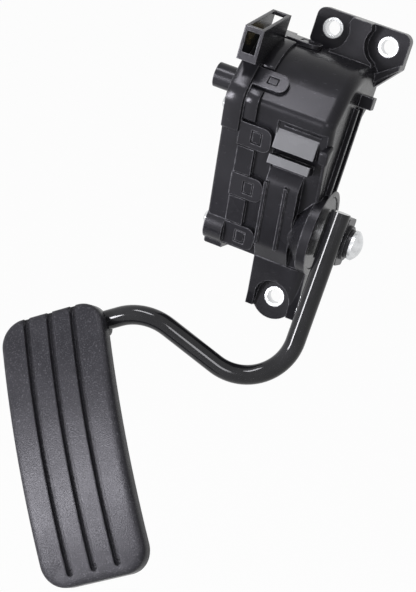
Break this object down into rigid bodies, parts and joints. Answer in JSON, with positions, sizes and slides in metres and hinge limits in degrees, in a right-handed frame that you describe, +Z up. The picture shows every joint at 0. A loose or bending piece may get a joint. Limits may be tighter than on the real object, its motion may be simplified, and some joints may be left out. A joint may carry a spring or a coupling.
{
  "type": "accelerator pedal sensor",
  "caption": "Suspended accelerator pedal with a built-in position sensor: moulded wedge housing, clipped sensor cover with plug socket, bent rod arm and grooved pad.",
  "frame": {"origin": "midway between the two upper bolt holes, on the mounting plane", "axes": "+X to the driver's right along the pivot axis, +Y into the bulkhead, +Z up"},
  "size_m": [0.1367, 0.0956, 0.2754],
  "materials": {
    "housing_plastic": "satin moulded black",
    "cover_plastic": "satin moulded black",
    "pad_plastic": "fine grained black",
    "rod_paint": "gloss black",
    "zinc_steel": "bright zinc",
    "black_steel": "black oxide",
    "shaft_steel": "ground",
    "spring_steel": "drawn wire",
    "bearing_bronze": "sintered",
    "drum_plastic": "satin grey",
    "lever_plastic": "glass filled",
    "stop_rubber": "matt",
    "board_laminate": "solder mask",
    "chip_epoxy": "matt",
    "terminal_brass": "tin flashed"
  },
  "bodies": {
    "body": {"housing": "housing_plastic", "sensor_cover": "cover_plastic", "connector_pins": "terminal_brass", "cover_seal": "stop_rubber", "sensor_board": "board_laminate", "signal_chip": "chip_epoxy", "mounting_sleeves": "zinc_steel", "cover_screws": "zinc_steel", "bush_left": "bearing_bronze", "bush_right": "bearing_bronze", "thrust_washers": "lever_plastic", "idle_bumper": "stop_rubber", "return_spring_outer": "spring_steel", "return_spring_inner": "spring_steel"},
    "pedal": {"pivot_shaft": "shaft_steel", "shaft_circlip": "black_steel", "drum_plate": "drum_plastic", "sensor_rotor": "lever_plastic", "spring_lever": "lever_plastic", "lever_pin": "shaft_steel", "arm_block": "black_steel", "bolt_washer": "black_steel", "lock_washer": "black_steel", "pivot_bolt": "zinc_steel", "pedal_rod": "rod_paint", "pedal_pad": "pad_plastic"}
  },
  "joints": [
    {"name": "pedal_travel", "type": "hinge", "parent": "body", "child": "pedal", "pos_m": [0, -0.022, -0.087], "axis": [1, 0, 0], "range_deg": [0, 18], "stiffness_Nm_per_rad": 13, "springref_deg": -17.19, "deforming": ["return_spring_outer", "return_spring_inner"]}
  ]
}
